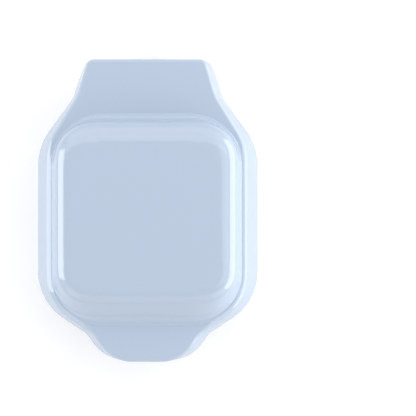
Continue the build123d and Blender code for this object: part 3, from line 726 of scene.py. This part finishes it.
def smooth(thing: bpy.types.Object, angle: float) -> None:
    """Smooth shading with sharp edges kept above an angle.

    Args:
        thing: The object.
        angle: The angle in degrees.
    """
    for polygon in thing.data.polygons:
        polygon.use_smooth = True
    made = bmesh.new()
    made.from_mesh(thing.data)
    limit = math.radians(angle)
    for edge in made.edges:
        if len(edge.link_faces) == 2:
            edge.smooth = edge.calc_face_angle(0.0) < limit
    made.to_mesh(thing.data)
    made.free()


def dress(thing: bpy.types.Object, material: bpy.types.Material) -> None:
    """Gives an object one material."""
    thing.data.materials.clear()
    thing.data.materials.append(material)


def polar_ring(angles: np.ndarray, reach: np.ndarray, height: np.ndarray | float) -> np.ndarray:
    """Ring of points from polar distances.

    Args:
        angles: Angles from +X.
        reach: Distances from the middle in millimetres.
        height: One height or one for each point.

    Returns:
        Rows of x, y and z.
    """
    return np.column_stack([
        reach * np.cos(angles),
        reach * np.sin(angles),
        np.broadcast_to(height, reach.shape),
    ])


def curve(start: Pair, knee: Pair, end: Pair, steps: int) -> np.ndarray:
    """Points on a quadratic curve.

    Args:
        start: First point.
        knee: Control point.
        end: Last point.
        steps: Number of steps between the two.

    Returns:
        Rows of two numbers, from the first point to the last.
    """
    share = np.linspace(0.0, 1.0, steps + 1)[:, None]
    a, b, c = np.array(start), np.array(knee), np.array(end)
    return (1 - share) ** 2 * a + 2 * share * (1 - share) * b + share ** 2 * c


@dataclass(frozen=True)
class EdgeRounding:
    """Section of the rounding where the skirt meets a flat, in shares of its radius."""

    radius: float
    knee: Pair
    end: Pair
    steps: int = 10

    def section(self, flat_z: float) -> np.ndarray:
        """Rings of the rounding, from the skirt to the flat.

        Args:
            flat_z: Height of the flat in millimetres.

        Returns:
            Rows of distance inside the skirt and of height.
        """
        rows = self.radius * curve((0.0, 0.0), self.knee, self.end, self.steps)
        return rows + (0.0, flat_z - self.radius)


@dataclass(frozen=True)
class Crown:
    """Section of the bend between the dome's wall and its top, softer towards the top."""

    tilts: tuple[float, ...] = (0.0, 18.0, 26.0, 44.0, 52.0, 90.0)
    radii: tuple[float, ...] = (9.0, 9.0, 13.0, 13.0, 5.0, 5.0)
    soft_angle: float = math.radians(20.0)
    steps: int = 200

    def run(self, tilt: np.ndarray, soft_radius: np.ndarray) -> tuple[np.ndarray, np.ndarray]:
        """Distances covered by the bend from the flat top to a tilt of the surface.

        Args:
            tilt: Tilts in radians.
            soft_radius: Radius added where the bend leaves the top.

        Returns:
            Distances outwards and downwards in millimetres.
        """
        edges = np.linspace(0.0, math.pi / 2, self.steps + 1)
        middles = (edges[1:] + edges[:-1]) / 2
        step = edges[1] - edges[0]
        plain = np.interp(np.degrees(middles), self.tilts, self.radii)
        soft = np.clip(1 - middles / self.soft_angle, 0.0, 1.0) ** 2
        covered = []
        for direction in (np.cos(middles), np.sin(middles)):
            for radius in (plain, soft):
                length = np.concatenate([[0.0], np.cumsum(radius * direction * step)])
                covered.append(np.interp(tilt, edges, length))
        out, soft_out, down, soft_down = covered
        return out + soft_radius * soft_out, down + soft_radius * soft_down


@dataclass
class LidShell:
    """The lid's moulded shell: skirt with tail and handle tabs, low plinth and raised dome.

    Sizes are in millimetres. An outline is given by its right side, from the rear to the front.
    """

    # Plan outlines
    skirt: Outline = field(default_factory=lambda: Outline.mirrored([
        (36.9, 89.5, 4.5), (44.6, 67.5, 30.0), (65.8, 38.5, 36.0),
        (65.8, -54.5, 34.0), (36.6, -73.8, 16.0), (25.7, -89.5, 24.0),
    ]))
    ledge: Outline = field(default_factory=lambda: Outline.mirrored([
        (34.4, 88.8, 4.5), (40.6, 67.5, 28.0), (58.5, 38.5, 34.0),
        (58.5, -54.5, 32.0), (30.8, -72.3, 16.0), (20.9, -88.8, 22.0),
    ]))
    plinth: Outline = field(default_factory=lambda: Outline.mirrored([
        (56.8, 56.6, 32.0), (56.8, -67.8, 32.0),
    ]))
    dome_root: Outline = field(default_factory=lambda: Outline.mirrored([
        (55.5, 53.6, 28.0), (55.5, -64.0, 28.0),
    ]))
    dome_corner: Outline = field(default_factory=lambda: Outline.mirrored([
        (51.5, 49.4, 18.0), (51.5, -50.6, 18.0),
    ]))
    # Heights and wall
    foot: float = 37.2
    tab_z: float = 56.4
    ledge_z: float = 57.0
    top: float = 72.0
    wall: float = 2.4
    inner_corner_inset: float = 1.5
    # Sections from the foot to the plinth, as heights and insets or as distances out and rises
    lip: tuple[Pair, ...] = ((0.0, 0.6), (0.12, 0.15))
    lip_height: float = 0.4
    tab_edge: EdgeRounding = EdgeRounding(1.4, (0.3, 1.0), (1.2, 1.0))
    side_edge: EdgeRounding = EdgeRounding(2.0, (0.14, 0.42), (1.2, 0.95))
    plinth_section: tuple[Pair, ...] = (
        (0.7, 0.0), (0.4, 0.0), (0.18, 0.08), (0.05, 0.35),
        (0.0, 0.6), (-0.1, 0.85), (-0.35, 0.98), (-0.7, 1.0),
    )
    plinth_blend: float = 1.2
    plinth_lead: float = 0.8
    plinth_merge: float = 0.8
    # Dome, with the crown's softness by the sine of the angle
    cove: float = 3.4
    cove_slant: float = 0.1
    crown: Crown = field(default_factory=Crown)
    soft_sines: tuple[float, ...] = (-0.7, 0.0, 0.5, 0.8)
    soft_radii: tuple[float, ...] = (14.0, 26.0, 26.0, 74.0)
    # Hinge ears, notch and ribs
    pin_y: float = 79.4
    pin_z: float = 44.0
    ear_radius: float = 12.0
    notch_half: float = 25.1
    notch_top: float = 51.6
    rib_half: Pair = (25.1, 28.1)
    rib_radius: float = 6.5
    rib_bevel: float = 0.3
    rib_overlap: float = 0.2
    # Mesh columns round the middle, with their gaps in radians
    columns: int = 720
    corner_columns: int = 18
    column_gap: float = 0.0006
    notch_edge_gap: float = 0.0004
    # Mesh rings
    smooth_angle: float = 50.0
    plateau_core: float = 0.06
    ring_gap: float = 0.02
    foot_gap: float = 0.05
    skirt_steps: int = 11
    cove_steps: int = 14
    wall_steps: int = 6
    crown_steps: int = 32
    plateau_steps: int = 11
    inner_skirt_steps: int = 4
    inner_dome_steps: int = 7
    rib_arc_steps: int = 32

    def angles(self) -> np.ndarray:
        """Angles of the mesh's columns, closer together round the corners.

        Returns:
            Rising angles from -pi to pi, measured from +X.
        """
        wanted = [np.linspace(-math.pi, math.pi, self.columns + 1)[:-1]]
        for outline in (self.skirt, self.ledge, self.plinth, self.dome_root, self.dome_corner):
            points = outline.points(self.corner_columns)
            wanted.append(np.arctan2(points[:, 1], points[:, 0]))
        edge = math.atan2(self.skirt.corners[0].y, self.notch_half)
        for side in (edge, math.pi - edge):
            wanted.append(np.array([side - self.notch_edge_gap, side + self.notch_edge_gap]))
        every = np.sort(np.concatenate(wanted))
        kept = [every[0]]
        for angle in every[1:]:
            if angle - kept[-1] > self.column_gap:
                kept.append(angle)
        return np.array(kept)

    def foot_heights(self, angles: np.ndarray) -> np.ndarray:
        """Height of the skirt's foot, with the round ears and the rear notch.

        Args:
            angles: The columns' angles.

        Returns:
            A height for each column.
        """
        reach = self.skirt.reach(angles)
        x, y = reach * np.cos(angles), reach * np.sin(angles)
        across = np.clip(1 - ((y - self.pin_y) / self.ear_radius) ** 2, 0.0, None)
        ears = self.pin_z - self.ear_radius * np.sqrt(across)
        near = np.abs(y - self.pin_y) < self.ear_radius
        heights = np.where(near, np.minimum(ears, self.foot), self.foot)
        notch = (np.abs(x) < self.notch_half) & (y > self.pin_y)
        return np.where(notch, self.notch_top, heights)

    def skirt_ring(self, angles: np.ndarray, heights: np.ndarray, inset: float) -> np.ndarray:
        """A ring on the skirt, or on a skin parallel to it.

        Args:
            angles: The columns' angles.
            heights: A height for each column.
            inset: Distance inside the outer skin.

        Returns:
            The ring's points.
        """
        low = self.skirt.moved_in(inset).reach(angles)
        high = self.ledge.moved_in(inset).reach(angles)
        share = (heights - self.foot) / (self.ledge_z - self.foot)
        return polar_ring(angles, low + (high - low) * share, heights)

    def plinth_share(self, angles: np.ndarray) -> np.ndarray:
        """How far the plinth's step runs out into the skirt's edge along each angle.

        Args:
            angles: The columns' angles.

        Returns:
            Shares from nought to one.
        """
        rounding = self.side_edge
        flat = self.ledge.moved_in(rounding.end[0] * rounding.radius).reach(angles)
        over = self.plinth.reach(angles) - flat
        return np.clip(over / self.plinth_blend + self.plinth_lead, 0.0, 1.0)

    def edge_rings(self, angles: np.ndarray) -> list[np.ndarray]:
        """Rings of the edge between the skirt and the top, which slants beside the plinth.

        Args:
            angles: The columns' angles.

        Returns:
            The rings, from the skirt up.
        """
        share = self.plinth_share(angles)[:, None]
        tab_rows = self.tab_edge.section(self.tab_z)
        side_rows = self.side_edge.section(self.ledge_z)
        made = []
        for rows in zip(tab_rows, side_rows):
            tab, side = (
                self.skirt_ring(angles, np.full(angles.shape, height), inset)
                for inset, height in rows
            )
            made.append((1 - share) * tab + share * side)
        return made

    def skirt_rings(self, angles: np.ndarray) -> list[np.ndarray]:
        """Rings of the skirt, from its foot to the flat of the tabs.

        Args:
            angles: The columns' angles.

        Returns:
            The rings, from the foot up.
        """
        foot = self.foot_heights(angles)
        rings = [self.skirt_ring(angles, foot + up, inset) for up, inset in self.lip]
        edge = self.edge_rings(angles)
        low, high = foot + self.lip_height, edge[0][:, 2]
        for share in np.linspace(0.0, 1.0, self.skirt_steps + 1)[:-1]:
            rings.append(self.skirt_ring(angles, low + (high - low) * share, 0.0))
        return [*rings, *edge]

    def plinth_rings(self, angles: np.ndarray, limit: np.ndarray) -> list[np.ndarray]:
        """Rings of the low step round the dome's foot.

        Args:
            angles: The columns' angles.
            limit: Distances that the step stays within.

        Returns:
            The rings, from outside in.
        """
        least_rise = self.plinth_merge * self.plinth_share(angles)
        step = self.ledge_z - self.tab_z
        plinth = self.plinth.reach(angles)
        rings = []
        for number, (out, rise) in enumerate(self.plinth_section, 1):
            reach = np.minimum(plinth + out, limit - self.ring_gap * number)
            height = self.tab_z + step * np.maximum(rise, least_rise)
            rings.append(polar_ring(angles, reach, height))
        return rings

    def dome_rings(self, angles: np.ndarray, limit: np.ndarray) -> list[np.ndarray]:
        """Rings of the dome, from its root fillet over the crown to the flat top.

        Args:
            angles: The columns' angles.
            limit: Distances that the dome's foot stays within.

        Returns:
            The rings, from outside in.
        """
        rise = self.top - self.ledge_z
        root = self.dome_root.reach(angles)
        corner = self.dome_corner.reach(angles)
        lean = root - corner
        # What a millimetre square to the outline covers along each column
        slant = corner - self.dome_corner.moved_in(1.0).reach(angles)
        wall_tilt = np.arctan2(rise, lean / slant)
        soft = self.softness(angles)
        full_out, full_down = self.crown.run(wall_tilt, soft)
        room = np.minimum(self.cove * slant, limit - self.foot_gap - root)
        room = np.maximum(room, self.ring_gap)
        rings = []
        for out, up in curve((1.0, 0.0), (0.0, self.cove_slant), (0.0, 1.0), self.cove_steps):
            reach = root + room * out - lean * self.cove * up / rise
            rings.append(polar_ring(angles, reach, self.ledge_z + self.cove * up))
        for part in np.linspace(0.0, 1.0, self.wall_steps + 1)[1:]:
            up = self.cove + (rise - full_down - self.cove) * part
            rings.append(polar_ring(angles, root - lean * up / rise, self.ledge_z + up))
        start = root - lean * (1 - full_down / rise)
        for part in np.linspace(0.0, 1.0, self.crown_steps + 1)[1:]:
            out, down = self.crown.run(wall_tilt * (1 - part), soft)
            rings.append(polar_ring(angles, start - slant * (full_out - out), self.top - down))
        return rings

    def softness(self, angles: np.ndarray) -> np.ndarray:
        """Radius added to the crown's inner bend, largest at the rear."""
        return np.interp(np.sin(angles), self.soft_sines, self.soft_radii)

    def plateau_rings(self, edge: np.ndarray) -> list[np.ndarray]:
        """Rings of the flat top, from the crown's inner edge to the middle.

        Args:
            edge: The crown's last ring.

        Returns:
            The rings, from outside in.
        """
        middle = np.array([0.0, 0.0, self.top])
        scales = np.linspace(1.0, self.plateau_core, self.plateau_steps + 1)[1:]
        return [middle + (edge - middle) * scale for scale in scales]

    def inner_top(self) -> float:
        """Height of the inner skin's ceiling under the dome."""
        return self.top - 2 * self.wall

    def inner_rings(self, angles: np.ndarray) -> list[np.ndarray]:
        """Rings of the inner skin.

        Args:
            angles: The columns' angles.

        Returns:
            The rings, from the foot to the dome's ceiling.
        """
        foot = self.foot_heights(angles)
        ceiling = self.tab_z - self.wall
        rings = []
        for share in np.linspace(0.0, 1.0, self.inner_skirt_steps + 1):
            rings.append(self.skirt_ring(angles, foot + (ceiling - foot) * share, self.wall))
        root = self.dome_root.moved_in(self.wall)
        corner = self.dome_corner.moved_in(self.wall + self.inner_corner_inset)
        for share in np.linspace(0.0, 1.0, self.inner_dome_steps + 1):
            height = ceiling + (self.inner_top() - ceiling) * share
            rings.append(polar_ring(angles, root.between(corner, share).reach(angles), height))
        return rings

    def shell(self) -> bpy.types.Object:
        """Builds the shell as one closed mesh.

        Returns:
            The shell.
        """
        maker = MeshMaker("lid_shell")
        angles = self.angles()
        skirt = self.skirt_rings(angles)
        plinth = self.plinth_rings(angles, np.hypot(skirt[-1][:, 0], skirt[-1][:, 1]))
        dome = self.dome_rings(angles, np.hypot(plinth[-1][:, 0], plinth[-1][:, 1]))
        _, middle = maker.stack([*skirt, *plinth, *dome, *self.plateau_rings(dome[-1])])
        maker.fan(middle, (0.0, 0.0, self.top))
        _, inner_middle = maker.stack([skirt[0], *self.inner_rings(angles)])
        maker.fan(inner_middle, (0.0, 0.0, self.inner_top()))
        return maker.finish(self.smooth_angle)

    def rib(self, name: str, side: float) -> bpy.types.Object:
        """Builds an inner rib that holds the hinge pin.

        Args:
            name: The piece's name.
            side: 1 on the right, -1 on the left.

        Returns:
            The rib.
        """
        maker = MeshMaker(name)
        near, far = self.rib_half
        bevel = self.rib_bevel
        ceiling = self.tab_z - self.wall + self.rib_overlap - self.pin_z
        turns = np.linspace(math.pi, math.tau, self.rib_arc_steps + 1)
        rings = []
        for x, inset in ((near, bevel), (near + bevel, 0.0), (far - bevel, 0.0), (far, bevel)):
            radius = self.rib_radius - inset
            arc = [(radius * math.cos(turn), radius * math.sin(turn)) for turn in turns]
            profile = [(-radius, ceiling), *arc, (radius, ceiling)]
            rings.append(np.array([(side * x, self.pin_y + y, self.pin_z + z) for y, z in profile]))
        first, last = maker.stack(rings)
        maker.faces.append(tuple(first))
        maker.faces.append(tuple(reversed(last)))
        return maker.finish()

    def build(self, plastic: bpy.types.Material) -> None:
        """Builds and dresses the lid's shell and its ribs.

        Args:
            plastic: The housing's material.
        """
        pieces = [self.shell(), self.rib("lid_rib_left", -1.0), self.rib("lid_rib_right", 1.0)]
        for piece in pieces:
            dress(piece, plastic)
            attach(piece, Body.LID.value)
            LOG.info("built %s", piece.name)
        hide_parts("lid_housing")


@dataclass
class FramePieces:
    """Finishes for the pieces that keep their CAD shape."""

    nodes: dict[str, bpy.types.Object]
    finishes: dict[str, bpy.types.Material]
    smooth_angle: float = 30.0

    def build(self, groups: dict[str, Sequence[str]]) -> None:
        """Dresses the nodes.

        Args:
            groups: Names of nodes for each finish.
        """
        for finish, names in groups.items():
            for name in names:
                dress(self.nodes[name], self.finishes[finish])
                smooth(self.nodes[name], self.smooth_angle)
                LOG.info("dressed %s", name)


@dataclass(frozen=True)
class Panel:
    """A soft rectangular lamp: place and size in metres, power in watts."""

    place: Place
    size: Pair
    power: float


@dataclass
class Studio:
    """White floor, camera straight above and soft lamps."""

    camera_place: Place = (0.0360, 0.0015, 1.022)
    lens: float = 142.4
    sensor: float = 36.0
    clip: Pair = (0.01, 20.0)
    floor_half: float = 3.0
    floor_shades: tuple[Colour, Colour] = ((0.90, 0.90, 0.90), (0.88, 0.88, 0.88))
    floor_noise: float = 30.0
    floor_lift: float = 0.17
    floor_tint: Colour = (1.0, 0.93, 0.85)
    surround_colour: Colour = (0.97, 0.98, 1.0)
    surround_strength: float = 0.47
    aim: Place = (0.0, 0.0, 0.04)
    lamps: dict[Light, Panel] = field(default_factory=lambda: {
        Light.LEFT: Panel((-0.6, 0.0, 0.28), (0.5, 0.37), 1.7),
        Light.RIGHT: Panel((0.62, 0.0, 0.21), (1.1, 0.37), 3.3),
        Light.REAR: Panel((0.0, 0.75, 0.84), (2.4, 1.1), 6.0),
        Light.FRONT: Panel((0.0, -0.9, 0.40), (2.2, 0.7), 2.2),
        Light.FRONT_LEFT: Panel((-0.5, -0.5, 0.34), (0.6, 0.42), 0.3),
        Light.FRONT_RIGHT: Panel((0.5, -0.5, 0.34), (0.6, 0.42), 0.3),
        Light.HIGH_RIGHT: Panel((0.52, 0.0, 0.84), (0.8, 0.58), 0.85),
        Light.LOW_REAR: Panel((0.0, 0.8, 0.25), (1.6, 0.3), 0.6),
    })

    def camera(self) -> None:
        """Sets the camera above the object, looking straight down."""
        data = bpy.data.cameras.new("camera")
        data.lens = self.lens
        data.sensor_width = self.sensor
        data.clip_start, data.clip_end = self.clip
        camera = bpy.data.objects.new("camera", data)
        camera.location = self.camera_place
        bpy.context.scene.collection.objects.link(camera)
        bpy.context.scene.camera = camera

    def floor_finish(self) -> bpy.types.Material:
        """Builds the floor's matt white, with a weak glow that only the camera sees.

        Returns:
            The finished material.
        """
        shader = Shader("floor_white")
        shade = shader.tinted(shader.noise(self.floor_noise), *self.floor_shades)
        matt = shader.node("ShaderNodeBsdfDiffuse", None, {"Color": shade}).outputs[0]
        rays = shader.node("ShaderNodeLightPath")
        seen = Value(shader, rays.outputs["Is Camera Ray"])
        sockets = {"Color": self.floor_tint, "Strength": seen * self.floor_lift}
        glow = shader.node("ShaderNodeEmission", None, sockets).outputs[0]
        return shader.ended(shader.node("ShaderNodeAddShader", None, {0: matt, 1: glow}).outputs[0])

    def floor(self) -> None:
        """Lays the white floor."""
        maker = MeshMaker("floor")
        half = self.floor_half / MM
        square = ((-half, -half), (half, -half), (half, half), (-half, half))
        ring = maker.ring(np.array([(x, y, 0.0) for x, y in square]))
        maker.faces.append(tuple(ring))
        floor = maker.finish()
        dress(floor, self.floor_finish())

    def world(self) -> None:
        """Sets an even pale surround."""
        world = bpy.data.worlds.new("surround")
        world.use_nodes = True
        background = world.node_tree.nodes["Background"]
        background.inputs["Color"].default_value = (*self.surround_colour, 1.0)
        background.inputs["Strength"].default_value = self.surround_strength
        bpy.context.scene.world = world

    def lights(self) -> None:
        """Hangs the lamps, all aimed at the object."""
        for light, plan in self.lamps.items():
            data = bpy.data.lights.new(light.value, "AREA")
            data.shape = "RECTANGLE"
            data.size, data.size_y = plan.size
            data.energy = plan.power
            lamp = bpy.data.objects.new(light.value, data)
            lamp.location = plan.place
            lamp.rotation_mode = "QUATERNION"
            towards = Vector(self.aim) - Vector(plan.place)
            lamp.rotation_quaternion = towards.to_track_quat("-Z", "Y")
            bpy.context.scene.collection.objects.link(lamp)

    def build(self) -> None:
        """Sets up the whole studio."""
        self.camera()
        self.floor()
        self.world()
        self.lights()
        bpy.context.scene.view_settings.view_transform = "Standard"
        LOG.info("set up the studio")


def finishes() -> dict[str, bpy.types.Material]:
    """Builds every material.

    Returns:
        The materials by the name of their slot.
    """
    kinds = {
        "housing": MouldedPlastic("housing_plastic", (0.489, 0.583, 0.716), (0.479, 0.573, 0.706)),
        "cover": PlainMatter("cover_plastic", (0.42, 0.50, 0.61), (0.38, 0.46, 0.57), 0.5),
        "coating": NonStick("nonstick_coating"),
        "sheath": BareMetal("sheath_steel", (0.42, 0.39, 0.36), (0.28, 0.24, 0.22), 0.35),
        "ceramic": PlainMatter("ceramic", (0.8, 0.77, 0.7), (0.7, 0.66, 0.58), 0.45),
        "sheet_steel": BareMetal("sheet_steel", (0.6, 0.6, 0.6), (0.5, 0.5, 0.5), 0.3),
        "shield": BareMetal("aluminised_steel", (0.72, 0.72, 0.73), (0.6, 0.6, 0.61), 0.32),
        "screw_steel": BareMetal("plated_steel", (0.6, 0.6, 0.62), (0.45, 0.45, 0.47), 0.28),
        "brass": BareMetal("brass", (0.75, 0.58, 0.28), (0.55, 0.4, 0.18), 0.3),
        "dark_plastic": PlainMatter("dark_plastic", (0.03, 0.03, 0.033), (0.05, 0.05, 0.055), 0.45),
        "nylon": PlainMatter("nylon", (0.75, 0.75, 0.72), (0.66, 0.66, 0.62), 0.4),
        "lens": TintedLens("indicator_plastic", (0.8, 0.25, 0.04)),
        "lamp": TintedLens("lamp_glass", (0.9, 0.6, 0.4)),
        "insulation": WovenSleeve("woven_sleeve", (0.8, 0.78, 0.7), (0.5, 0.47, 0.4)),
        "rubber": PlainMatter("rubber", (0.16, 0.17, 0.19), (0.22, 0.23, 0.25), 0.75),
    }
    return {slot: kind.material() for slot, kind in kinds.items()}


def corners(pair: tuple[Vector, Vector]) -> list[list[float]]:
    """A box's two corners as plain lists."""
    return [[float(part) for part in corner] for corner in pair]


def main(frame: dict[str, Any]) -> None:
    """Builds the looks in order.
    """
    logging.basicConfig(level=logging.INFO, format="%(message)s")
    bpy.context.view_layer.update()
    made = finishes()
    groups: dict[str, list[str]] = {}
    for part in frame["record"]["subparts"]:
        groups.setdefault(part["material_slot"], []).append(part["node"])
    FramePieces(frame["nodes"], made).build(groups)
    LidShell().build(made["housing"])
    Studio().build()


if __name__ == "__main__":
    main(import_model())
